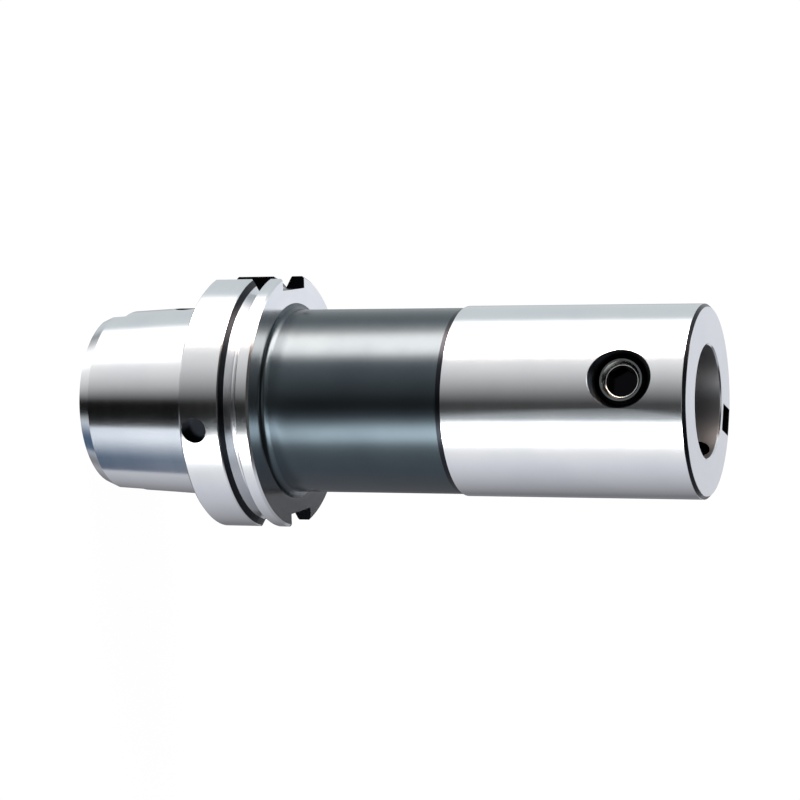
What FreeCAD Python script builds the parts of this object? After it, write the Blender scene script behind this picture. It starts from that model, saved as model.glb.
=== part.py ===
import FreeCAD, Part
import os
import Sketcher

# Modular arbor: a hollow taper shank with a gripper flange, a long round neck and a
# ground nose that takes a modular head in its bore. A radial screw clamps the head.
# The origin is the centre of the flange's contact face, which seats on the spindle.
# +Z runs along the axis towards the nose, and the clamp screw lies on the -Y side.

doc = FreeCAD.newDocument("modular_arbor")

SIZES = (
    ("flange_dia", 100.0, "outer diameter of the gripper flange"),
    ("flange_width", 29.0, "flange width from the contact face to its front face"),
    ("rim_chamfer", 0.8, "chamfer on both rims of the flange"),
    ("groove_centre", 20.0, "gripper groove, middle from the contact face"),
    ("groove_mouth", 7.5, "gripper groove, width at the flange's outside"),
    ("groove_dia", 88.0, "gripper groove, diameter at its bottom"),
    ("flank_angle", 30.0, "slope of each groove flank, degrees from the radial plane"),
    ("groove_edge", 0.5, "chamfer on both edges of the gripper groove"),
    ("key_floor", 44.0, "flange keyways, floor from the axis"),
    ("key_wide", 22.0, "wider flange keyway"),
    ("key_narrow", 20.0, "narrower flange keyway"),
    ("key_turn", 19.0, "keyway plane turned from the XZ plane, degrees"),
    ("chip_dia", 10.0, "data carrier hole"),
    ("chip_depth", 4.6, "data carrier hole, depth"),
    ("chip_rise", 6.2, "data carrier hole, middle from the contact face"),
    ("chip_turn", 27.0, "data carrier hole turned from the clamp screw, degrees"),
    ("gauge_dia", 75.01, "taper diameter at the gauge plane"),
    ("gauge_drop", 10.0, "gauge plane from the contact face"),
    ("taper_run", 9.98, "length over which the taper gains one unit of diameter"),
    ("shank_length", 50.0, "shank from the contact face to its end"),
    ("lead_in", 1.7, "lead-in chamfer at the shank end, taken off the radius"),
    ("lead_angle", 20.0, "lead-in chamfer, slope to the axis in degrees"),
    ("relief", 0.5, "relief groove between taper and contact face, depth"),
    ("relief_run", 1.0, "relief groove, length of each slope out of it"),
    ("mouth_dia", 53.0, "hollow of the shank, diameter at its mouth"),
    ("mouth_chamfer", 1.5, "chamfer at the mouth"),
    ("shoulder_depth", 12.0, "start of the clamping shoulder from the shank end"),
    ("shoulder_angle", 30.0, "clamping shoulder, slope to the axis in degrees"),
    ("undercut_dia", 63.0, "undercut behind the clamping shoulder"),
    ("undercut_depth", 36.0, "end of the undercut from the shank end"),
    ("pocket_dia", 46.0, "bottom of the hollow"),
    ("pocket_depth", 48.0, "floor of the hollow from the shank end"),
    ("slot_width", 20.02, "drive slots at the shank end"),
    ("slot_short", 10.0, "shorter drive slot, depth from the shank end"),
    ("slot_long", 15.0, "longer drive slot, depth from the shank end"),
    ("access_dia", 12.0, "holes through the taper wall for hand clamping"),
    ("access_drop", 16.0, "hand clamping holes from the contact face"),
    ("tube_thread_dia", 22.5, "core of the coolant tube thread"),
    ("tube_thread_length", 20.0, "coolant tube thread, length from the floor"),
    ("coolant_dia", 12.0, "coolant bore along the axis"),
    ("drill_slope", 30.0, "end of the thread's core hole, slope to the radial plane in degrees"),
    ("reach", 195.0, "contact face to the nose face"),
    ("neck_dia", 72.0, "neck"),
    ("neck_fillet", 2.5, "fillet between neck and flange"),
    ("nose_dia", 73.5, "ground nose"),
    ("ground_length", 93.7, "ground nose from its face back to the neck"),
    ("nose_chamfer", 1.3, "chamfer at the nose face"),
    ("bore_dia", 42.5, "bore for the modular head"),
    ("bore_depth", 48.0, "bore for the modular head, depth"),
    ("bore_chamfer", 0.6, "chamfer at the bore's mouth"),
    ("key_slot_width", 10.4, "drive pocket in the nose face"),
    ("key_slot_length", 10.4, "drive pocket, length towards the axis"),
    ("key_slot_wall", 2.0, "drive pocket, wall left on its outer side"),
    ("key_slot_depth", 6.0, "drive pocket, depth from the nose face"),
    ("recess_dia", 12.0, "recess in the bore wall"),
    ("recess_depth", 2.4, "recess in the bore wall, depth"),
    ("recess_drop", 8.0, "recess, middle from the nose face"),
    ("recess_turn", 132.0, "recess turned from the clamp screw, degrees"),
    ("clamp_drop", 25.1, "clamp screw axis from the nose face"),
    ("clamp_dia", 20.0, "clamp screw"),
    ("clamp_clearance", 0.05, "gap round the clamp screw"),
    ("clamp_length", 12.0, "clamp screw, length"),
    ("clamp_rest", 0.4, "tip of the open clamp screw, behind the bore wall"),
    ("clamp_face_dia", 16.0, "flat outer end of the clamp screw"),
    ("clamp_tip_chamfer", 3.0, "chamfer at the clamp screw's tip"),
    ("socket_flats", 10.0, "hexagon socket across its flats"),
    ("socket_depth", 6.0, "hexagon socket, depth"),
    ("cup_dia", 14.6, "cone at the socket's mouth, diameter in the outer end"),
    ("cup_floor_dia", 12.2, "cone at the socket's mouth, diameter at its floor"),
    ("cup_depth", 2.0, "cone at the socket's mouth, depth"),
    ("sink_over", 4.2, "countersink round the clamp screw, wider than the screw"),
    ("sink_angle", 30.0, "countersink, slope of its wall from the screw axis, degrees"),
)

sheet = doc.addObject("Spreadsheet::Sheet", "size")
for row, (alias, value, meaning) in enumerate(SIZES, start=1):
    sheet.set("A%d" % row, str(value))
    sheet.setAlias("A%d" % row, alias)
    sheet.set("B%d" % row, meaning)
doc.recompute()

# How far a cut runs on past the face that it opens in.
PAST = 5.0

# Heights and radii that several features share, worked out from the sheet.
SHANK_END = "-size.shank_length"
LEAD_START = SHANK_END + " + size.lead_in / tan(size.lead_angle * 1 deg)"
RELIEF_START = "-(size.relief + size.relief_run)"
HOLLOW_FLOOR = "(size.pocket_depth - size.shank_length)"
THREAD_END = "(%s + size.tube_thread_length)" % HOLLOW_FLOOR
BORE_FLOOR = "size.reach - size.bore_depth"
CLAMP_HEIGHT = "size.reach - size.clamp_drop"
GROOVE_DEPTH = "(size.flange_dia - size.groove_dia) / 2"
CLAMP_HOLE = "(size.clamp_dia / 2 + size.clamp_clearance)"
INSIDE_BORE = "-size.bore_dia / 4"


def origin_plane(body, role):
    for feature in body.Origin.OriginFeatures:
        if feature.Role == role:
            return feature
    raise ValueError("no plane " + role)


def add_sketch(body, name, plane, turn_axis=None, turn=None, shift=None):
    """A sketch on one of the body's planes, turned about an axis of that plane's frame and shifted in it."""
    sketch = body.newObject("Sketcher::SketchObject", name)
    sketch.AttachmentSupport = [(origin_plane(body, plane), "")]
    sketch.MapMode = "FlatFace"
    if turn_axis:
        sketch.AttachmentOffset = FreeCAD.Placement(FreeCAD.Vector(), FreeCAD.Rotation(turn_axis, 1.0))
        sketch.setExpression("AttachmentOffset.Rotation.Angle", turn)
    for part, expression in (shift or {}).items():
        sketch.setExpression("AttachmentOffset.Base." + part, expression)
    return sketch


def fix_point(sketch, line, end, across, up):
    """Ties a line's end to its place: each of across and up is an expression, or None on the axis."""
    if across is None:
        sketch.addConstraint(Sketcher.Constraint("PointOnObject", line, end, -2))
    else:
        place = sketch.evalExpression(across)
        index = sketch.addConstraint(Sketcher.Constraint("DistanceX", -1, 1, line, end, place))
        sketch.setExpression("Constraints[%d]" % index, across)
    if up is None:
        sketch.addConstraint(Sketcher.Constraint("PointOnObject", line, end, -1))
    else:
        place = sketch.evalExpression(up)
        index = sketch.addConstraint(Sketcher.Constraint("DistanceY", -1, 1, line, end, place))
        sketch.setExpression("Constraints[%d]" % index, up)


def draw_outline(sketch, corners):
    """Draws a closed outline through corners, each a pair of expressions, and returns its first line."""
    places = []
    for across, up in corners:
        x = sketch.evalExpression(across) if across else 0.0
        y = sketch.evalExpression(up) if up else 0.0
        places.append(FreeCAD.Vector(x, y, 0))
    first = None
    for start, end in zip(places, places[1:] + places[:1]):
        line = sketch.addGeometry(Part.LineSegment(start, end))
        first = line if first is None else first
    count = len(corners)
    for number, (across, up) in enumerate(corners):
        after = first + number
        before = first + (number - 1) % count
        sketch.addConstraint(Sketcher.Constraint("Coincident", before, 2, after, 1))
        fix_point(sketch, after, 1, across, up)
    return first


def draw_circle(sketch, across, up, diameter):
    """Draws a circle with its middle at across and up."""
    x = sketch.evalExpression(across) if across else 0.0
    y = sketch.evalExpression(up) if up else 0.0
    radius = sketch.evalExpression(diameter) / 2
    circle = sketch.addGeometry(Part.Circle(FreeCAD.Vector(x, y, 0), FreeCAD.Vector(0, 0, 1), radius))
    fix_point(sketch, circle, 3, across, up)
    index = sketch.addConstraint(Sketcher.Constraint("Diameter", circle, 2 * radius))
    sketch.setExpression("Constraints[%d]" % index, diameter)


def turn_solid(body, name, kind, sketch, axis):
    """Revolves a sketch about one of its axes, as a solid or as a cut."""
    feature = body.newObject("PartDesign::" + kind, name)
    feature.Profile = sketch
    feature.ReferenceAxis = (sketch, [axis])
    feature.Angle = 360.0
    doc.recompute()
    return feature


def cut_pocket(body, name, sketch, length, outward=True, both_ways=False):
    """Cuts a sketch away over a length, along its normal when outward is set, and checks that it cuts."""
    before = body.Shape.Volume
    pocket = body.newObject("PartDesign::Pocket", name)
    pocket.Profile = sketch
    pocket.Reversed = outward
    pocket.Midplane = both_ways
    pocket.setExpression("Length", length)
    doc.recompute()
    if body.Shape.Volume >= before:
        raise ValueError(name + " cuts nothing")
    return pocket


def round_edge(shape, radius, height):
    """The name of the round edge about Z that has this radius at this height."""
    for number, edge in enumerate(shape.Edges, start=1):
        curve = edge.Curve
        if not isinstance(curve, Part.Circle):
            continue
        if abs(curve.Radius - radius) < 1e-6 and abs(curve.Center.z - height) < 1e-6:
            return "Edge%d" % number
    raise ValueError("no round edge there")


def taper_radius(height):
    """The radius of the shank's taper at a height."""
    return "(size.gauge_dia + (%s + size.gauge_drop) / size.taper_run) / 2" % height


SHANK_TOP = taper_radius("0")


def arbor_profile(body):
    """Half of the arbor's section: the outside from shank end to nose, and the hollow on the way back."""
    sketch = add_sketch(body, "arbor_section", "XZ_Plane")
    draw_outline(sketch, (
        ("size.mouth_dia / 2 + size.mouth_chamfer", SHANK_END),
        (taper_radius(SHANK_END) + " - size.lead_in", SHANK_END),
        (taper_radius(LEAD_START), LEAD_START),
        (taper_radius(RELIEF_START), RELIEF_START),
        (SHANK_TOP + " - size.relief", "-size.relief"),
        (SHANK_TOP + " - size.relief", "size.relief"),
        (SHANK_TOP + " + size.relief", "size.relief"),
        (SHANK_TOP + " + size.relief + size.relief_run", None),
        ("size.flange_dia / 2 - size.rim_chamfer", None),
        ("size.flange_dia / 2", "size.rim_chamfer"),
        ("size.flange_dia / 2", "size.flange_width - size.rim_chamfer"),
        ("size.flange_dia / 2 - size.rim_chamfer", "size.flange_width"),
        ("size.neck_dia / 2", "size.flange_width"),
        ("size.neck_dia / 2", "size.reach - size.ground_length"),
        ("size.nose_dia / 2", "size.reach - size.ground_length"),
        ("size.nose_dia / 2", "size.reach - size.nose_chamfer"),
        ("size.nose_dia / 2 - size.nose_chamfer", "size.reach"),
        ("size.bore_dia / 2 + size.bore_chamfer", "size.reach"),
        ("size.bore_dia / 2", "size.reach - size.bore_chamfer"),
        ("size.bore_dia / 2", BORE_FLOOR),
        ("size.coolant_dia / 2", BORE_FLOOR),
        ("size.coolant_dia / 2",
         THREAD_END + " + (size.tube_thread_dia - size.coolant_dia) / 2 * tan(size.drill_slope * 1 deg)"),
        ("size.tube_thread_dia / 2", THREAD_END),
        ("size.tube_thread_dia / 2", HOLLOW_FLOOR),
        ("size.pocket_dia / 2", HOLLOW_FLOOR),
        ("size.pocket_dia / 2",
         SHANK_END + " + size.undercut_depth + (size.undercut_dia - size.pocket_dia) / 2"),
        ("size.undercut_dia / 2", SHANK_END + " + size.undercut_depth"),
        ("size.undercut_dia / 2",
         SHANK_END + " + size.shoulder_depth + (size.undercut_dia - size.mouth_dia) / 2"
         " / tan(size.shoulder_angle * 1 deg)"),
        ("size.mouth_dia / 2", SHANK_END + " + size.shoulder_depth"),
        ("size.mouth_dia / 2", SHANK_END + " + size.mouth_chamfer"),
    ))
    return sketch


def cut_gripper_groove(body):
    """The V groove round the flange, which a tool changer grips."""
    sketch = add_sketch(body, "groove_section", "XZ_Plane")
    half_bottom = "(size.groove_mouth / 2 - %s * tan(size.flank_angle * 1 deg))" % GROOVE_DEPTH
    half_edge = "(size.groove_mouth / 2 - size.groove_edge * tan(size.flank_angle * 1 deg))"
    half_past = "(%s + size.groove_edge + %g)" % (half_edge, PAST)
    edge = "size.flange_dia / 2 - size.groove_edge"
    outside = "size.flange_dia / 2 + %g" % PAST
    draw_outline(sketch, (
        ("size.groove_dia / 2", "size.groove_centre - " + half_bottom),
        ("size.groove_dia / 2", "size.groove_centre + " + half_bottom),
        (edge, "size.groove_centre + " + half_edge),
        (outside, "size.groove_centre + " + half_past),
        (outside, "size.groove_centre - " + half_past),
        (edge, "size.groove_centre - " + half_edge),
    ))
    turn_solid(body, "gripper_groove", "Groove", sketch, "V_Axis")


def draw_side_block(sketch, side, inner, outer, half_width):
    """A rectangle across the sketch's X axis, on the side that side names as 1 or -1."""
    near = "%d * (%s)" % (side, inner)
    far = "%d * (%s)" % (side, outer)
    draw_outline(sketch, (
        (near, "-" + half_width),
        (far, "-" + half_width),
        (far, half_width),
        (near, half_width),
    ))


def cut_flange_keyways(body):
    """Two keyways of different width through the flange, opposite each other."""
    sketch = add_sketch(body, "keyway_outline", "XY_Plane", FreeCAD.Vector(0, 0, 1), "size.key_turn")
    outside = "size.flange_dia / 2 + %g" % PAST
    draw_side_block(sketch, 1, "size.key_floor", outside, "size.key_narrow / 2")
    draw_side_block(sketch, -1, "size.key_floor", outside, "size.key_wide / 2")
    cut_pocket(body, "flange_keyways", sketch, "size.flange_width")


def cut_drive_slots(body):
    """Two drive slots of different depth in the shank end, in line with the keyways."""
    outside = "size.gauge_dia / 2 + %g" % PAST
    inside = "size.mouth_dia / 2 - %g" % PAST
    for name, side, depth in (("short", -1, "size.slot_short"), ("long", 1, "size.slot_long")):
        sketch = add_sketch(body, name + "_slot_outline", "XY_Plane",
                            FreeCAD.Vector(0, 0, 1), "size.key_turn", {"z": SHANK_END})
        draw_side_block(sketch, side, inside, outside, "size.slot_width / 2")
        cut_pocket(body, name + "_drive_slot", sketch, depth)


def cut_access_holes(body):
    """Two holes through the taper wall, in line with the drive slots, for a key that clamps by hand."""
    sketch = add_sketch(body, "access_outline", "XZ_Plane", FreeCAD.Vector(0, 1, 0), "size.key_turn + 90")
    draw_circle(sketch, None, "-size.access_drop", "size.access_dia")
    cut_pocket(body, "access_holes", sketch, "2 * size.gauge_dia", both_ways=True)


def cut_chip_hole(body):
    """The blind hole in the flange's outside for a data carrier."""
    start = "(size.flange_dia / 2 - size.chip_depth)"
    sketch = add_sketch(body, "chip_outline", "XZ_Plane", FreeCAD.Vector(0, 1, 0), "size.chip_turn", {
        "x": start + " * sin(size.chip_turn * 1 deg)",
        "z": start + " * cos(size.chip_turn * 1 deg)",
    })
    draw_circle(sketch, None, "size.chip_rise", "size.chip_dia")
    cut_pocket(body, "chip_hole", sketch, "size.chip_depth + %g" % PAST)


def cut_face_slot(body):
    """The drive pocket in the nose face, opposite the clamp screw."""
    floor = "size.reach - size.key_slot_depth"
    sketch = add_sketch(body, "face_slot_outline", "XY_Plane", shift={"z": floor})
    half_width = "size.key_slot_width / 2"
    outer = "size.nose_dia / 2 - size.key_slot_wall"
    inner = outer + " - size.key_slot_length"
    draw_outline(sketch, (
        ("-" + half_width, inner),
        (half_width, inner),
        (half_width, outer),
        ("-" + half_width, outer),
    ))
    cut_pocket(body, "face_slot", sketch, "size.key_slot_depth + %g" % PAST)


def cut_bore_recess(body):
    """The shallow round recess in the bore wall, just behind the nose face."""
    sketch = add_sketch(body, "recess_outline", "XZ_Plane", FreeCAD.Vector(0, 1, 0), "size.recess_turn")
    draw_circle(sketch, None, "size.reach - size.recess_drop", "size.recess_dia")
    cut_pocket(body, "bore_recess", sketch, "size.bore_dia / 2 + size.recess_depth")


def cut_clamp_hole(body):
    """The countersunk hole for the clamp screw, revolved about the screw's own axis."""
    sketch = add_sketch(body, "clamp_hole_section", "YZ_Plane")
    nose = "size.nose_dia / 2"
    slope = "tan(size.sink_angle * 1 deg)"
    sink_depth = "((size.sink_over / 2 - size.clamp_clearance) / %s)" % slope
    past_radius = "(size.clamp_dia / 2 + size.sink_over / 2 + %g * %s)" % (PAST, slope)
    first = draw_outline(sketch, (
        (INSIDE_BORE, CLAMP_HEIGHT),
        ("-(%s + %g)" % (nose, PAST), CLAMP_HEIGHT),
        ("-(%s + %g)" % (nose, PAST), CLAMP_HEIGHT + " + " + past_radius),
        ("-(%s - %s)" % (nose, sink_depth), CLAMP_HEIGHT + " + " + CLAMP_HOLE),
        (INSIDE_BORE, CLAMP_HEIGHT + " + " + CLAMP_HOLE),
    ))
    middle = sketch.Geometry[first]
    axis = sketch.addGeometry(Part.LineSegment(middle.StartPoint, middle.EndPoint))
    sketch.toggleConstruction(axis)
    sketch.addConstraint(Sketcher.Constraint("Coincident", axis, 1, first, 1))
    sketch.addConstraint(Sketcher.Constraint("Coincident", axis, 2, first, 2))
    turn_solid(body, "clamp_hole", "Groove", sketch, "Axis0")


def make_arbor():
    """The arbor, turned and milled from one piece."""
    body = doc.addObject("PartDesign::Body", "arbor_body")
    turned = turn_solid(body, "turned_blank", "Revolution", arbor_profile(body), "V_Axis")
    corner = round_edge(turned.Shape, sheet.neck_dia / 2, sheet.flange_width)
    fillet = body.newObject("PartDesign::Fillet", "neck_corner")
    fillet.Base = (turned, [corner])
    fillet.setExpression("Radius", "size.neck_fillet")
    doc.recompute()
    cut_gripper_groove(body)
    cut_flange_keyways(body)
    cut_drive_slots(body)
    cut_access_holes(body)
    cut_chip_hole(body)
    cut_face_slot(body)
    cut_bore_recess(body)
    cut_clamp_hole(body)
    return body


def hexagon(flats):
    """Corners of a hexagon with two flats along X, as expressions of its width across flats."""
    corners = []
    for step in range(6):
        angle = 60 * step
        across = "%s / 2 / cos(30 deg) * cos(%d deg)" % (flats, angle)
        up = "%s / 2 / cos(30 deg) * sin(%d deg)" % (flats, angle) if angle % 180 else None
        corners.append((across, up))
    return corners


def make_clamp_screw():
    """The clamp screw on its own axis: tip at its origin, hexagon socket in its far end."""
    body = doc.addObject("PartDesign::Body", "clamp_screw")
    sketch = add_sketch(body, "screw_section", "XZ_Plane")
    end_chamfer = "(size.clamp_dia - size.clamp_face_dia) / 2"
    draw_outline(sketch, (
        (None, None),
        ("size.clamp_dia / 2 - size.clamp_tip_chamfer", None),
        ("size.clamp_dia / 2", "size.clamp_tip_chamfer"),
        ("size.clamp_dia / 2", "size.clamp_length - " + end_chamfer),
        ("size.clamp_face_dia / 2", "size.clamp_length"),
        ("size.cup_dia / 2", "size.clamp_length"),
        ("size.cup_floor_dia / 2", "size.clamp_length - size.cup_depth"),
        (None, "size.clamp_length - size.cup_depth"),
    ))
    turn_solid(body, "screw_blank", "Revolution", sketch, "V_Axis")
    socket_floor = "size.clamp_length - size.socket_depth"
    socket = add_sketch(body, "socket_outline", "XY_Plane", shift={"z": socket_floor})
    draw_outline(socket, hexagon("size.socket_flats"))
    cut_pocket(body, "hexagon_socket", socket, "size.socket_depth + %g" % PAST)
    body.Placement = FreeCAD.Placement(FreeCAD.Vector(), FreeCAD.Rotation(FreeCAD.Vector(1, 0, 0), 90))
    body.setExpression("Placement.Base.y", "-(size.bore_dia / 2 + size.clamp_rest)")
    body.setExpression("Placement.Base.z", CLAMP_HEIGHT)
    return body


subparts = [make_arbor(), make_clamp_screw()]
doc.recompute()

for thing in doc.Objects:
    if "Invalid" in thing.State or "Error" in thing.State:
        raise ValueError("failed feature: " + thing.Label)

os.makedirs("parts", exist_ok=True)
for subpart in subparts:
    shape = subpart.Shape
    if shape.isNull() or not shape.isValid() or len(shape.Solids) != 1:
        raise ValueError("bad shape: " + subpart.Label)
    shape.exportStep(os.path.join("parts", subpart.Label + ".step"))
    box = shape.BoundBox
    print("%s: volume %.0f mm3, faces %d, x %.1f to %.1f, y %.1f to %.1f, z %.1f to %.1f" % (
        subpart.Label, shape.Volume, len(shape.Faces),
        box.XMin, box.XMax, box.YMin, box.YMax, box.ZMin, box.ZMax))
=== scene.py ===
import math

import bpy
from mathutils import Matrix, Vector


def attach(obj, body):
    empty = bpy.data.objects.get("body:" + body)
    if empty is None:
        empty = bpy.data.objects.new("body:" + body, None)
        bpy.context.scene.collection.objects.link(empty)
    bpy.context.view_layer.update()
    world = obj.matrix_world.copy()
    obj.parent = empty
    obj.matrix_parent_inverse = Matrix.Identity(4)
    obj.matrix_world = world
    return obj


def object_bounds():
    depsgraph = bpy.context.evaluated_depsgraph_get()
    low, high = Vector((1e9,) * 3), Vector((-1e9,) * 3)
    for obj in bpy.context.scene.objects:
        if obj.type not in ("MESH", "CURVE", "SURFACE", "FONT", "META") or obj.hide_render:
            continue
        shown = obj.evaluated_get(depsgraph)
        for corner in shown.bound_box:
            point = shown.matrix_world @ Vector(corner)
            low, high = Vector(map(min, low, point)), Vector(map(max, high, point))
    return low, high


# A modular arbor on a white ground: hollow taper shank, gripper flange, blackened neck
# and a bright ground nose. Lengths are in metres, and +Z runs from shank to nose.

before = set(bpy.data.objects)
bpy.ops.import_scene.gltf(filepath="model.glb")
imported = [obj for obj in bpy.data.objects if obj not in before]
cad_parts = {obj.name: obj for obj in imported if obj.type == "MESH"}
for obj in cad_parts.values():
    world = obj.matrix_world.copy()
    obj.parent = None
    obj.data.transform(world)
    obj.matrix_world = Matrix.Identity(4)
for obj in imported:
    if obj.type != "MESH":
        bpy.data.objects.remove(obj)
cad_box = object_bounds()

# Where the photograph's camera stands. It looks at the arbor from VIEW_TURN round from
# the clamp screw, with the arbor's axis lying along the picture.
VIEW_TURN = math.radians(13.6)
VIEW_TILT = math.radians(20.05)
VIEW_ROLL = math.radians(0.15)
CAMERA_HEIGHT = 0.420
CAMERA_OUT = 0.953
LENS = 117.0
SENSOR = 36.0
NEAREST_SEEN = 0.05
IMAGE_SIDE = 800
IMAGE_DROP_PIXELS = 0.8

# Places on the arbor that the finishes follow. Heights are from the contact face, and so
# are the floors of the bore and the pocket. Radii and the other floors are from the axis.
FLANGE_TOP = 0.029
FLANGE_RADIUS = 0.050
GROOVE_RIM = 0.0158
GROOVE_RADIUS = 0.0496
# Below this height and above GROOVE_RIM, the gripper groove is painted near-black: painted shade.
GROOVE_SHADE_LINE = 0.0178
NECK_TOP = 0.1013
# From this height up to NECK_TOP, the neck's end is painted near-black: painted shade beside the nose's
# step.
NECK_SHADE_LINE = 0.0991
NECK_FOOT_RADIUS = 0.0386
NOSE_TOP = 0.195
NOSE_RADIUS = 0.03675
NOSE_CHAMFER_START = 0.1937
NOSE_FACE_RADIUS = 0.03545
BORE_RADIUS = 0.02125
BORE_CHAMFER = 0.0008
BORE_FLOOR = 0.1469
RECESS_LOW = 0.176
RECESS_RADIUS = 0.0245
KEY_TURN = math.radians(19.0)
KEY_FLOOR = 0.044
KEY_HALF = 0.011
CHIP_TURN = math.radians(27.0 - 90.0)
CHIP_FLOOR = 0.0454
CHIP_HEIGHT = 0.0062
CHIP_RADIUS = 0.005
ACCESS_HEIGHT = -0.016
ACCESS_RADIUS = 0.006
HOLLOW_RADIUS = 0.0265
CLAMP_HEIGHT = 0.1699
CLAMP_RADIUS = 0.0122
POCKET_HALF = 0.0052
POCKET_INNER = 0.02435
POCKET_FLOOR = 0.189

# The shank's taper: its radius at the contact face, and what it gains per metre of height.
TAPER_RADIUS = 0.038006
TAPER_GAIN = 0.0501

# How far a finish reaches past the edge of its place.
HAIR = 0.0001


def socket_value(node, name, value):
    """Sets an input by its name."""
    node.inputs[name].default_value = value


# The Mix node has sockets for every kind of data, and these are the ones in use.
SHARE_IN = 0
NUMBERS_IN = (2, 3)
NUMBER_OUT = 0
COLOURS_IN = (6, 7)
COLOUR_OUT = 2


class Nodes:
    """A small helper round one node tree: makes nodes and links them in plain words."""

    def __init__(self, tree):
        self.tree = tree
        tree.nodes.clear()

    def add(self, kind, **settings):
        """A new node of a kind, with its settings."""
        node = self.tree.nodes.new(kind)
        for name, value in settings.items():
            setattr(node, name, value)
        return node

    def join(self, source, target):
        """Links an output to an input."""
        self.tree.links.new(source, target)

    def plug(self, term, target):
        """Links an output to a socket, or sets the socket to a number or a colour."""
        if isinstance(term, (int, float)):
            target.default_value = term
        elif isinstance(term, tuple):
            target.default_value = (*term, 1.0)
        else:
            self.join(term, target)

    def math(self, operation, *terms):
        """A Math node; each term is a number or another node's output."""
        node = self.add("ShaderNodeMath", operation=operation)
        for index, term in enumerate(terms):
            self.plug(term, node.inputs[index])
        return node.outputs[0]

    def step(self, value, low, high):
        """0 below low, 1 above high and smooth between them."""
        node = self.add("ShaderNodeMapRange", interpolation_type="SMOOTHSTEP")
        self.join(value, node.inputs["Value"])
        socket_value(node, "From Min", low)
        socket_value(node, "From Max", high)
        return node.outputs["Result"]

    def fall(self, value, low, high):
        """1 below low, 0 above high and smooth between them."""
        return self.math("SUBTRACT", 1.0, self.step(value, low, high))

    def between(self, value, low, high, soft):
        """1 between low and high, falling to 0 over soft on either side."""
        rise = self.step(value, low - soft, low)
        fall = self.step(value, high, high + soft)
        return self.math("SUBTRACT", rise, fall)

    def below(self, value, limit):
        """1 where a value is under a limit."""
        return self.math("LESS_THAN", value, limit)

    def above(self, value, limit):
        """1 where a value is over a limit."""
        return self.math("GREATER_THAN", value, limit)

    def inside(self, value, low, high):
        """1 where a value lies between two limits."""
        return self.math("MULTIPLY", self.above(value, low), self.below(value, high))

    def all_of(self, *masks):
        """1 where every mask is 1."""
        total = masks[0]
        for mask in masks[1:]:
            total = self.math("MULTIPLY", total, mask)
        return total

    def any_of(self, *masks):
        """1 where at least one mask is 1."""
        total = masks[0]
        for mask in masks[1:]:
            total = self.math("MAXIMUM", total, mask)
        return total

    def length(self, first, second):
        """The distance from an axis of a point that lies first and second across it."""
        second_square = self.math("MULTIPLY", second, second)
        return self.math("SQRT", self.math("MULTIPLY_ADD", first, first, second_square))

    def turned(self, x, y, angle):
        """The coordinates x and y in a frame turned about the axis, as along and across."""
        x_along = self.math("MULTIPLY", x, math.cos(angle))
        y_across = self.math("MULTIPLY", y, math.cos(angle))
        along = self.math("MULTIPLY_ADD", y, math.sin(angle), x_along)
        across = self.math("MULTIPLY_ADD", x, -math.sin(angle), y_across)
        return along, across

    def mix_colour(self, share, first, second, kind="MIX"):
        """The first colour where share is 0, and the second, or their blend of a kind, where it is 1."""
        node = self.add("ShaderNodeMix", data_type="RGBA", blend_type=kind)
        self.plug(share, node.inputs[SHARE_IN])
        for term, place in zip((first, second), COLOURS_IN):
            self.plug(term, node.inputs[place])
        return node.outputs[COLOUR_OUT]

    def mix_number(self, share, first, second):
        """The first number where share is 0, and the second where it is 1."""
        node = self.add("ShaderNodeMix", data_type="FLOAT")
        self.plug(share, node.inputs[SHARE_IN])
        for term, place in zip((first, second), NUMBERS_IN):
            self.plug(term, node.inputs[place])
        return node.outputs[NUMBER_OUT]

    def multiply_light(self, light, shade):
        """A light multiplied by a colour."""
        return self.mix_colour(1.0, light, shade, kind="MULTIPLY")

    def cap_light(self, light, most):
        """A light held down to the most that each channel may have."""
        return self.mix_colour(1.0, light, most, kind="DARKEN")

    def noise(self, vector, scale, detail, rough=0.5):
        """A noise texture's value, about 0.5 on average."""
        node = self.add("ShaderNodeTexNoise")
        self.join(vector, node.inputs["Vector"])
        socket_value(node, "Scale", scale)
        socket_value(node, "Detail", detail)
        socket_value(node, "Roughness", rough)
        return node.outputs["Fac"]

    def own_place(self):
        """The object's own coordinates, as a vector and as x, y and z."""
        place = self.add("ShaderNodeTexCoord").outputs["Object"]
        parts = self.add("ShaderNodeSeparateXYZ")
        self.join(place, parts.inputs[0])
        x, y, z = parts.outputs
        return place, x, y, z


# The depth of what the bump shows, and how strongly it shows it on each finish.
MARK_DEPTH = 0.00002
STEEL_BUMP = 0.07
BLACK_BUMP = 0.015
SCREW_BUMP = 0.08


def new_material(name):
    """A new material with an empty node tree."""
    material = bpy.data.materials.new(name)
    material.use_nodes = True
    return material, Nodes(material.node_tree)


def finish_metal(nodes, colour, roughness, marks, strength):
    """The metal itself: its colour, its roughness and the marks that its bump follows."""
    bump = nodes.add("ShaderNodeBump")
    nodes.plug(strength, bump.inputs["Strength"])
    socket_value(bump, "Distance", MARK_DEPTH)
    nodes.join(marks, bump.inputs["Height"])
    shader = nodes.add("ShaderNodeBsdfPrincipled")
    nodes.plug(colour, shader.inputs["Base Color"])
    nodes.plug(roughness, shader.inputs["Roughness"])
    socket_value(shader, "Metallic", 1.0)
    nodes.join(bump.outputs["Normal"], shader.inputs["Normal"])
    output = nodes.add("ShaderNodeOutputMaterial")
    nodes.join(shader.outputs[0], output.inputs["Surface"])


# How far apart the fine rings and the broad ones lie, and how fast they change round the part.
RING_PITCH = 0.0006
RING_STRETCH = 4.0
BROAD_PITCH = 0.004
BROAD_STRETCH = 5.0
RING_DETAIL = 2.0
RING_ROUGH = 0.6


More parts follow.
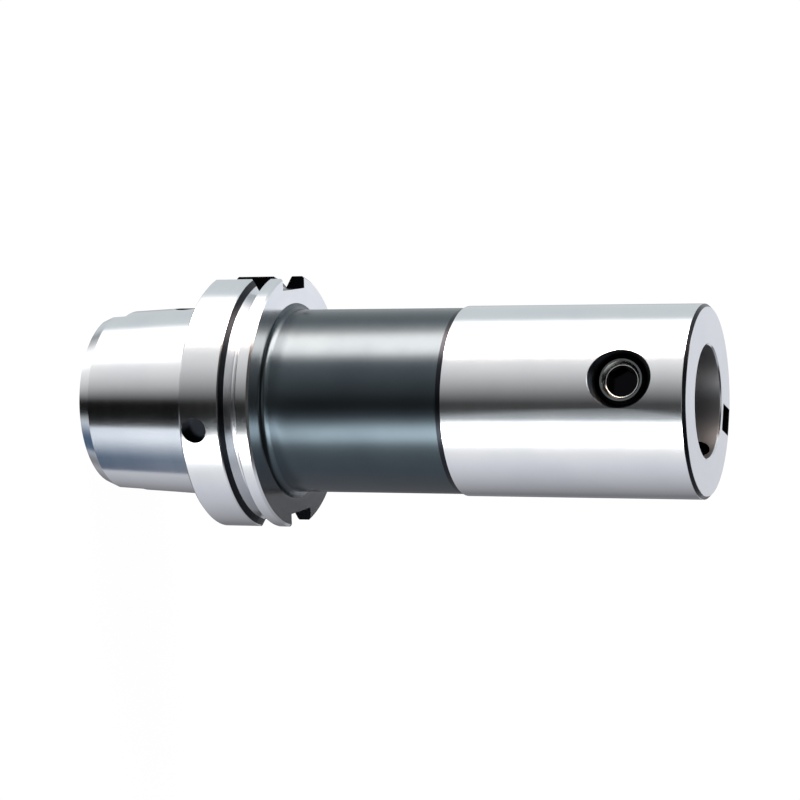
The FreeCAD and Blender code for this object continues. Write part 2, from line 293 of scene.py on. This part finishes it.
def turning_marks(nodes, x, y, z, radius, pitch, stretch):
    """Rings left by turning or grinding, as a noise value that follows the axis and the radius."""
    along = nodes.math("ADD", z, radius)
    vector = nodes.add("ShaderNodeCombineXYZ")
    nodes.join(nodes.math("MULTIPLY", x, stretch), vector.inputs[0])
    nodes.join(nodes.math("MULTIPLY", y, stretch), vector.inputs[1])
    nodes.join(nodes.math("DIVIDE", along, pitch), vector.inputs[2])
    return nodes.noise(vector.outputs[0], 1.0, RING_DETAIL, RING_ROUGH)


def milled_places(nodes, x, y, z, radius):
    """1 where no grinding took the black oxide off: in the keyways, the holes and the drive pocket, whose
    black is painted darker as shade in these hollows.
    """
    along, across = nodes.turned(x, y, KEY_TURN)
    reach = nodes.math("ABSOLUTE", along)
    half = nodes.math("ABSOLUTE", across)
    under_rim = nodes.below(radius, FLANGE_RADIUS - HAIR)
    keyways = nodes.all_of(nodes.inside(z, HAIR, FLANGE_TOP - HAIR), nodes.above(reach, KEY_FLOOR - HAIR),
                           nodes.below(half, KEY_HALF + HAIR), under_rim)

    from_access = nodes.length(across, nodes.math("SUBTRACT", z, ACCESS_HEIGHT))
    taper = nodes.math("MULTIPLY_ADD", z, TAPER_GAIN, TAPER_RADIUS - HAIR)
    access = nodes.all_of(nodes.below(from_access, ACCESS_RADIUS + HAIR), nodes.below(radius, taper),
                          nodes.above(reach, HOLLOW_RADIUS))

    outward, sideways = nodes.turned(x, y, CHIP_TURN)
    from_chip = nodes.length(sideways, nodes.math("SUBTRACT", z, CHIP_HEIGHT))
    chip = nodes.all_of(nodes.below(from_chip, CHIP_RADIUS + HAIR), nodes.above(outward, CHIP_FLOOR - HAIR),
                        under_rim)

    from_clamp = nodes.length(x, nodes.math("SUBTRACT", z, CLAMP_HEIGHT))
    clamp = nodes.all_of(nodes.below(from_clamp, CLAMP_RADIUS + HAIR), nodes.below(y, 0.0),
                         nodes.inside(radius, BORE_RADIUS + HAIR, NOSE_RADIUS - HAIR))

    pocket = nodes.all_of(nodes.inside(x, -POCKET_HALF - HAIR, POCKET_HALF + HAIR),
                          nodes.above(y, POCKET_INNER - HAIR), nodes.below(radius, NOSE_RADIUS - HAIR),
                          nodes.inside(z, POCKET_FLOOR - HAIR, NOSE_TOP - HAIR))
    recess = nodes.all_of(nodes.inside(radius, BORE_RADIUS + HAIR, RECESS_RADIUS),
                          nodes.inside(z, RECESS_LOW, NOSE_TOP - BORE_CHAMFER))
    return nodes.any_of(keyways, access, chip, clamp, pocket, recess)


GROUND_STEEL = (0.62, 0.63, 0.645)
STAINED_STEEL = (0.585, 0.60, 0.62)
# The bore's steel is painted darker than the ground steel: painted shade inside the bore.
BORE_PAINTED_SHADE = (0.34, 0.35, 0.37)
BLACKENED = (0.046, 0.060, 0.070)
WORN_BLACK = (0.054, 0.070, 0.080)
# The near-black is the milled hollows' black oxide painted darker as shade there, and also painted shade in
# the groove and at the neck's end and a painted dark reflection on the nose's chamfer.
OXIDE_AND_PAINTED_SHADE = (0.016, 0.018, 0.022)

# Each finish's roughness, with what the broad turning marks add to it.
STEEL_ROUGHNESS = 0.13
STEEL_ROUGHNESS_GAIN = 0.05
BLACK_ROUGHNESS = 0.255
BLACK_ROUGHNESS_GAIN = 0.02
BORED_ROUGHNESS = 0.30

# Faint stains, with the noise values between which each finish goes over to its second colour.
STAIN_SCALE = 42.0
STAIN_DETAIL = 4.0
STEEL_STAINS = (0.35, 0.75)
BLACK_WEAR = (0.3, 0.7)


def arbor_material():
    """Ground steel, with black oxide on the neck and in what is milled, painted darker there as shade;
    painted shade in the gripper groove, at the neck's end and in the bore, and a painted dark reflection on
    the nose's chamfer.
    """
    material, nodes = new_material("arbor_steel")
    place, x, y, z = nodes.own_place()
    radius = nodes.length(x, y)

    neck = nodes.all_of(nodes.inside(z, FLANGE_TOP - HAIR, NECK_TOP),
                        nodes.inside(radius, BORE_RADIUS + HAIR, NECK_FOOT_RADIUS))
    # The gripper groove's band of painted shade.
    groove = nodes.all_of(nodes.inside(z, GROOVE_RIM, GROOVE_SHADE_LINE), nodes.below(radius, GROOVE_RADIUS),
                          nodes.above(radius, NECK_FOOT_RADIUS))
    # The nose's chamfer is painted near-black: a painted dark reflection.
    chamfer = nodes.all_of(nodes.inside(z, NOSE_CHAMFER_START + HAIR, NOSE_TOP - HAIR),
                           nodes.above(radius, NOSE_FACE_RADIUS + HAIR))
    # A band of painted shade along the neck's end, next to the nose.
    neck_end = nodes.math("MULTIPLY", neck, nodes.above(z, NECK_SHADE_LINE))
    # deep gathers the painted shade in the groove and at the neck's end, the painted dark reflection on the
    # chamfer and the milled places, whose black oxide is painted darker as shade.
    deep = nodes.any_of(groove, chamfer, neck_end, milled_places(nodes, x, y, z, radius))
    dark = nodes.any_of(neck, deep)
    bored = nodes.all_of(nodes.above(z, BORE_FLOOR), nodes.below(radius, BORE_RADIUS + HAIR))

    rings = turning_marks(nodes, x, y, z, radius, RING_PITCH, RING_STRETCH)
    broad = turning_marks(nodes, x, y, z, radius, BROAD_PITCH, BROAD_STRETCH)
    stains = nodes.noise(place, STAIN_SCALE, STAIN_DETAIL)

    steel = nodes.mix_colour(nodes.step(stains, *STEEL_STAINS), GROUND_STEEL, STAINED_STEEL)
    black = nodes.mix_colour(nodes.step(stains, *BLACK_WEAR), BLACKENED, WORN_BLACK)
    colour = nodes.mix_colour(dark, steel, nodes.mix_colour(deep, black, OXIDE_AND_PAINTED_SHADE))
    # Painted shade inside the bore.
    colour = nodes.mix_colour(bored, colour, BORE_PAINTED_SHADE)

    steel_rough = nodes.math("MULTIPLY_ADD", broad, STEEL_ROUGHNESS_GAIN, STEEL_ROUGHNESS)
    black_rough = nodes.math("MULTIPLY_ADD", broad, BLACK_ROUGHNESS_GAIN, BLACK_ROUGHNESS)
    roughness = nodes.mix_number(dark, steel_rough, black_rough)
    roughness = nodes.mix_number(bored, roughness, BORED_ROUGHNESS)

    finish_metal(nodes, colour, roughness, rings, nodes.mix_number(dark, STEEL_BUMP, BLACK_BUMP))
    return material


# The clamp screw's outer end: the y of its face, how far behind that the wear reaches, and
# radii round the screw's axis, of the socket's mouth, its cone and the worn rim.
SCREW_END = -0.03365
WORN_INNER = 0.0060
WORN_OUTER = 0.0081
CUP_DEPTH = 0.0021
CUP_RADIUS = 0.0073
SCREW_BLACK = (0.022, 0.024, 0.028)
SCREW_BLACK_WORN = (0.045, 0.048, 0.055)
CONE_BRIGHT = (0.60, 0.62, 0.61)
CONE_BRIGHTER = (0.72, 0.74, 0.72)
RIM_DARK = (0.085, 0.095, 0.098)
RIM_LIGHT = (0.13, 0.14, 0.14)
# The hex socket is painted near-black: painted shade inside it.
SOCKET_PAINTED_SHADE = (0.005, 0.005, 0.006)
SCREW_ROUGHNESS = 0.12
SCREW_ROUGHNESS_GAIN = 0.08
GRAIN_SCALE = 600.0
GRAIN_DETAIL = 2.0
SPOT_SCALE = 160.0
SPOT_DETAIL = 3.0
SPOT_WEAR = (0.3, 0.8)


def screw_material():
    """Black oxide, worn on the rim and bright on the cone where the key goes in, with the socket painted
    black as painted shade.
    """
    material, nodes = new_material("screw_steel")
    place, x, y, z = nodes.own_place()
    grain = nodes.noise(place, GRAIN_SCALE, GRAIN_DETAIL)
    spots = nodes.step(nodes.noise(place, SPOT_SCALE, SPOT_DETAIL), *SPOT_WEAR)

    across = nodes.length(x, nodes.math("SUBTRACT", z, CLAMP_HEIGHT))
    near_end = nodes.below(y, SCREW_END + CUP_DEPTH)
    worn = nodes.all_of(nodes.inside(across, WORN_INNER, WORN_OUTER), near_end)
    cone = nodes.mix_colour(spots, CONE_BRIGHT, CONE_BRIGHTER)
    rim = nodes.mix_colour(spots, RIM_DARK, RIM_LIGHT)
    bright = nodes.mix_colour(nodes.below(across, CUP_RADIUS), rim, cone)
    black = nodes.mix_colour(spots, SCREW_BLACK, SCREW_BLACK_WORN)
    colour = nodes.mix_colour(worn, black, bright)
    # Inside the socket's mouth the screw is painted near-black: painted shade in the socket.
    colour = nodes.mix_colour(nodes.below(across, WORN_INNER), colour, SOCKET_PAINTED_SHADE)

    roughness = nodes.math("MULTIPLY_ADD", grain, SCREW_ROUGHNESS_GAIN, SCREW_ROUGHNESS)
    finish_metal(nodes, colour, roughness, grain, SCREW_BUMP)
    return material


def give_material(node, material):
    """A CAD node's mesh gets one material for all of its faces."""
    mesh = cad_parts[node].data
    mesh.materials.clear()
    mesh.materials.append(material)


# The coolant tube's thread inside the shank: a fine ridge that winds up the bore's wall.
# The foot and the tip are half the ridge's width at its root and at its crest, in pitches,
# and THREAD_LEAST is the share of its height that is left at its two ends.
THREAD_LOW = -0.0015
THREAD_HIGH = 0.0175
THREAD_PITCH = 0.0015
THREAD_ROOT = 0.01122
THREAD_CREST = 0.01050
THREAD_FOOT = 0.48
THREAD_TIP = 0.10
THREAD_LEAST = 0.05
THREAD_STEPS = 48


def make_thread(material):
    """A helical ridge that rises over its first turn and runs out over its last."""
    steps = round((THREAD_HIGH - THREAD_LOW) / THREAD_PITCH * THREAD_STEPS)
    verts = []
    for step in range(steps + 1):
        angle = 2 * math.pi * step / THREAD_STEPS
        middle = THREAD_LOW + THREAD_PITCH * step / THREAD_STEPS
        fade = min(1.0, step / THREAD_STEPS, (steps - step) / THREAD_STEPS)
        crest = THREAD_ROOT + (THREAD_CREST - THREAD_ROOT) * max(fade, THREAD_LEAST)
        section = ((THREAD_ROOT, -THREAD_FOOT), (crest, -THREAD_TIP),
                   (crest, THREAD_TIP), (THREAD_ROOT, THREAD_FOOT))
        for radius, share in section:
            height = middle + share * THREAD_PITCH
            verts.append((radius * math.cos(angle), radius * math.sin(angle), height))
    corners = len(section)
    faces = []
    for step in range(steps):
        low = corners * step
        for side in range(corners):
            after = (side + 1) % corners
            faces.append((low + side, low + after, low + corners + after, low + corners + side))
    faces.append(tuple(range(corners)))
    faces.append(tuple(corners * steps + side for side in reversed(range(corners))))
    mesh = bpy.data.meshes.new("coolant_thread")
    mesh.from_pydata(verts, [], faces)
    mesh.materials.append(material)
    thread = bpy.data.objects.new("coolant_thread", mesh)
    bpy.context.scene.collection.objects.link(thread)
    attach(thread, "arbor")


# The studio's light round the arbor's axis. Each stop is a turn from the camera's side in
# degrees, positive towards the top of the picture, with the light there and its tint.
NEUTRAL = (1.0, 1.0, 1.0)
COOL = (0.93, 1.0, 1.03)
BLUISH = (0.97, 0.98, 1.05)
WARM = (1.0, 0.81, 0.71)
STUDIO = (
    (-180, 0.30, BLUISH),
    (-150, 0.22, BLUISH),
    (-110, 0.65, BLUISH),
    (-80, 1.00, BLUISH),
    (-62, 1.22, NEUTRAL),
    (-53, 1.55, NEUTRAL),
    (-45, 9.50, NEUTRAL),
    (-31, 9.50, NEUTRAL),
    (-25, 1.10, COOL),
    (-13, 0.09, NEUTRAL),
    (-3, 0.06, NEUTRAL),
    (12, 0.38, NEUTRAL),
    (35, 0.92, NEUTRAL),
    (51, 1.24, NEUTRAL),
    (57, 1.50, NEUTRAL),
    (63, 20.0, WARM),
    (89, 20.0, WARM),
    (96, 4.50, WARM),
    (106, 2.30, NEUTRAL),
    (116, 0.95, COOL),
    (160, 0.80, COOL),
    (180, 0.30, BLUISH),
)
BRIGHTEST = 20.0
FULL_TURN = 360.0

# All angles from here on are in degrees. Below LEAN_START the light leans towards the bottom
# of the picture by a share of the drop in elevation, which counts up to LEAN_MOST. Each
# side's share sets in over LEAN_BLEND of turn. Near the floor the light fans out as well.
LEAN_START = -18.0
LEAN_MOST = 12.0
LEAN_BLEND = 20.0
LOWER_LEAN = 0.95
UPPER_LEAN = 0.60
FAN_FROM = -40.0
FAN_FULL = -60.0
FAN = 0.33

# The dark gap beside the lower lamp, below GAP_TOP and between two turns.
GAP_FULL = -24.0
GAP_TOP = -19.5
GAP_FROM = -32.0
GAP_TO = -4.0
GAP_SOFT = 8.0
GAP_SHADE = (0.03, 0.03, 0.03)

# The most light low down, where the shank's taper mirrors it. MIDDLE_CAP sets in first and
# only under the axis, and LOW_CAP has a limit under the axis and another over it.
MIDDLE_CAP_TOP = -23.5
MIDDLE_CAP_FULL = -25.5
MIDDLE_CAP = (2.0, 2.0, 2.0)
LOW_CAP_TOP = -26.0
LOW_CAP_FULL = -28.5
LOW_CAP_UNDER = (0.95, 1.03, 1.14)
LOW_CAP_OVER = (1.9, 1.9, 1.9)

# A dark blue card as low as LOW_CAP, darkest from its lower edge to BLUE_CARD_DARK.
BLUE_CARD_FROM = -104.0
BLUE_CARD_DARK = -84.0
BLUE_CARD_TO = -44.0
BLUE_CARD_SOFT = 2.0
BLUE_CARD = (0.10, 0.15, 0.22)

# Behind the arbor, by turns either way from the camera's side: a pale back, which is split
# higher up into a light and a dark half, and a shade near the floor.
BACK_FROM = 140.0
BACK_FULL = 155.0
BACK_RISE = 6.0
BACK_LIGHT = (0.90, 0.92, 0.98)
HIGH_BACK_FROM = 16.0
HIGH_BACK_FULL = 19.0
BACK_SPLIT = 1.5
BACK_UPPER = (1.18, 1.20, 1.27)
BACK_LOWER = (0.03, 0.03, 0.03)
LOW_BACK_FULL = -50.0
LOW_BACK_TOP = -42.0
LOW_BACK_FROM = 95.0
LOW_BACK_TO = 120.0
LOW_BACK = (0.35, 0.35, 0.35)

# The dark ceiling that the chamfers mirror, and the light straight overhead.
CEILING_FROM = 45.0
CEILING_FULL = 55.0
CEILING = (0.05, 0.05, 0.05)
OVERHEAD_FROM = 72.0
OVERHEAD_FULL = 80.0
OVERHEAD = (0.85, 0.85, 0.85)


def round_the_axis(nodes):
    """A world direction's turn from the camera's side, -180 to 180 degrees, and its elevation."""
    direction = nodes.add("ShaderNodeTexCoord").outputs["Generated"]
    turn = nodes.add("ShaderNodeVectorRotate", rotation_type="Z_AXIS")
    nodes.join(direction, turn.inputs["Vector"])
    socket_value(turn, "Angle", -VIEW_TURN)
    parts = nodes.add("ShaderNodeSeparateXYZ")
    nodes.join(turn.outputs[0], parts.inputs[0])
    x, y, z = parts.outputs
    radians = nodes.math("ARCTAN2", nodes.math("MULTIPLY", x, -1.0), nodes.math("MULTIPLY", y, -1.0))
    elevation = nodes.math("DEGREES", nodes.math("ARCSINE", z))
    return nodes.math("DEGREES", radians), elevation


def leaning_turn(nodes, turn, elevation):
    """The turn at which STUDIO is read: it leans below LEAN_START and fans out near the floor."""
    drop = nodes.math("MINIMUM", nodes.math("SUBTRACT", LEAN_START, elevation), LEAN_MOST)
    drop = nodes.math("MAXIMUM", drop, 0.0)
    fan = nodes.math("MULTIPLY_ADD", nodes.step(elevation, FAN_FULL, FAN_FROM), FAN, 1.0 - FAN)
    turn = nodes.math("MULTIPLY", turn, fan)
    upper = nodes.math("MULTIPLY", nodes.step(turn, 0.0, LEAN_BLEND), UPPER_LEAN)
    lean = nodes.mix_number(nodes.fall(turn, -LEAN_BLEND, 0.0), upper, LOWER_LEAN)
    return nodes.math("MULTIPLY_ADD", drop, lean, turn)


def ring_light(nodes, turn):
    """The light of STUDIO at a turn."""
    ramp = nodes.add("ShaderNodeValToRGB")
    stops = ramp.color_ramp.elements
    for index, (angle, level, tint) in enumerate(STUDIO):
        place = angle / FULL_TURN + 0.5
        if index == 0:
            stop = stops[0]
            stop.position = place
        elif index == len(STUDIO) - 1:
            stop = stops[len(stops) - 1]
            stop.position = place
        else:
            stop = stops.new(place)
        stop.color = (*(level / BRIGHTEST * part for part in tint), 1.0)
    nodes.join(nodes.math("MULTIPLY_ADD", turn, 1.0 / FULL_TURN, 0.5), ramp.inputs[0])
    return nodes.multiply_light(ramp.outputs[0], (BRIGHTEST, BRIGHTEST, BRIGHTEST))


def shade_gap(nodes, light, turn, elevation):
    """The dark gap beside the lower lamp."""
    deep = nodes.fall(elevation, GAP_FULL, GAP_TOP)
    gap = nodes.math("MULTIPLY", deep, nodes.between(turn, GAP_FROM, GAP_TO, GAP_SOFT))
    return nodes.multiply_light(light, nodes.mix_colour(gap, NEUTRAL, GAP_SHADE))


def cap_low_light(nodes, light, turn, elevation):
    """Dimmer lamps and the blue card, low down where the taper mirrors them."""
    middle = nodes.fall(elevation, MIDDLE_CAP_FULL, MIDDLE_CAP_TOP)
    middle = nodes.math("MULTIPLY", middle, nodes.below(turn, 0.0))
    light = nodes.mix_colour(middle, light, nodes.cap_light(light, MIDDLE_CAP))

    low = nodes.fall(elevation, LOW_CAP_FULL, LOW_CAP_TOP)
    cap = nodes.mix_colour(nodes.above(turn, 0.0), LOW_CAP_UNDER, LOW_CAP_OVER)
    light = nodes.mix_colour(low, light, nodes.cap_light(light, cap))

    on_card = nodes.between(turn, BLUE_CARD_FROM, BLUE_CARD_TO, BLUE_CARD_SOFT)
    card = nodes.all_of(low, on_card, nodes.fall(turn, BLUE_CARD_DARK, BLUE_CARD_TO))
    return nodes.multiply_light(light, nodes.mix_colour(card, NEUTRAL, BLUE_CARD))


def light_back(nodes, light, turn, elevation):
    """What stands behind the arbor: a pale back, split higher up, and a shade near the floor."""
    from_front = nodes.math("ABSOLUTE", turn)
    behind = nodes.step(from_front, BACK_FROM, BACK_FULL)
    back = nodes.math("MULTIPLY", behind, nodes.step(elevation, 0.0, BACK_RISE))
    past_back = nodes.math("SUBTRACT", nodes.math("FLOORED_MODULO", turn, FULL_TURN), FULL_TURN / 2)
    lower_back = nodes.step(past_back, -BACK_SPLIT, BACK_SPLIT)
    high_back = nodes.mix_colour(lower_back, BACK_UPPER, BACK_LOWER)
    high = nodes.step(elevation, HIGH_BACK_FROM, HIGH_BACK_FULL)
    light = nodes.mix_colour(back, light, nodes.mix_colour(high, BACK_LIGHT, high_back))

    low_back = nodes.fall(elevation, LOW_BACK_FULL, LOW_BACK_TOP)
    low_back = nodes.math("MULTIPLY", low_back, nodes.step(from_front, LOW_BACK_FROM, LOW_BACK_TO))
    return nodes.multiply_light(light, nodes.mix_colour(low_back, NEUTRAL, LOW_BACK))


def make_world():
    """White to the camera; metal sees a studio with two long lamps, dark gaps and a dark ceiling."""
    world = bpy.data.worlds.new("studio")
    world.use_nodes = True
    bpy.context.scene.world = world
    nodes = Nodes(world.node_tree)
    turn, elevation = round_the_axis(nodes)
    light = ring_light(nodes, leaning_turn(nodes, turn, elevation))
    light = shade_gap(nodes, light, turn, elevation)
    light = cap_low_light(nodes, light, turn, elevation)
    light = light_back(nodes, light, turn, elevation)
    light = nodes.mix_colour(nodes.step(elevation, CEILING_FROM, CEILING_FULL), light, CEILING)
    light = nodes.mix_colour(nodes.step(elevation, OVERHEAD_FROM, OVERHEAD_FULL), light, OVERHEAD)

    camera_ray = nodes.add("ShaderNodeLightPath").outputs["Is Camera Ray"]
    background = nodes.add("ShaderNodeBackground")
    nodes.join(nodes.mix_colour(camera_ray, light, NEUTRAL), background.inputs["Color"])
    output = nodes.add("ShaderNodeOutputWorld")
    nodes.join(background.outputs[0], output.inputs["Surface"])


# The floor's own grey, and the share of plain white in what the camera sees of it.
FLOOR_SIZE = 12.0
FLOOR_GREY = 0.9
FLOOR_WHITENING = 0.97


def make_floor():
    """A wide pale floor under the shank's end, white to the camera apart from the arbor's soft shadow."""
    bpy.ops.mesh.primitive_plane_add(size=FLOOR_SIZE, location=(0.0, 0.0, cad_box[0].z))
    floor = bpy.context.object
    floor.name = "floor"
    floor.visible_glossy = False
    material, nodes = new_material("floor_paper")
    paper = nodes.add("ShaderNodeBsdfDiffuse")
    socket_value(paper, "Color", (FLOOR_GREY, FLOOR_GREY, FLOOR_GREY, 1.0))
    white = nodes.add("ShaderNodeEmission")
    camera_ray = nodes.add("ShaderNodeLightPath").outputs["Is Camera Ray"]
    blend = nodes.add("ShaderNodeMixShader")
    nodes.join(nodes.math("MULTIPLY", camera_ray, FLOOR_WHITENING), blend.inputs[0])
    nodes.join(paper.outputs[0], blend.inputs[1])
    nodes.join(white.outputs[0], blend.inputs[2])
    output = nodes.add("ShaderNodeOutputMaterial")
    nodes.join(blend.outputs[0], output.inputs["Surface"])
    floor.data.materials.append(material)


def make_camera():
    """The camera at the photograph's viewing angle, rolled so that the arbor lies along the picture."""
    out = Vector((math.sin(VIEW_TURN), -math.cos(VIEW_TURN), 0.0))
    axis = Vector((0.0, 0.0, 1.0))
    picture_right = axis * math.cos(VIEW_TILT) - out * math.sin(VIEW_TILT)
    backward = axis * math.sin(VIEW_TILT) + out * math.cos(VIEW_TILT)
    picture_up = backward.cross(picture_right)
    turned = Matrix((picture_right, picture_up, backward)).transposed()
    data = bpy.data.cameras.new("camera")
    data.lens = LENS
    data.sensor_width = SENSOR
    data.shift_y = IMAGE_DROP_PIXELS / IMAGE_SIDE
    data.clip_start = NEAREST_SEEN
    camera = bpy.data.objects.new("camera", data)
    bpy.context.scene.collection.objects.link(camera)
    roll = Matrix.Rotation(VIEW_ROLL, 3, "Z")
    place = axis * CAMERA_HEIGHT + out * CAMERA_OUT
    camera.matrix_world = Matrix.Translation(place) @ (turned @ roll).to_4x4()
    bpy.context.scene.camera = camera


arbor_finish = arbor_material()
give_material("arbor_body", arbor_finish)
give_material("clamp_screw", screw_material())
make_thread(arbor_finish)

make_world()
make_floor()
make_camera()
bpy.context.scene.view_settings.view_transform = "Standard"
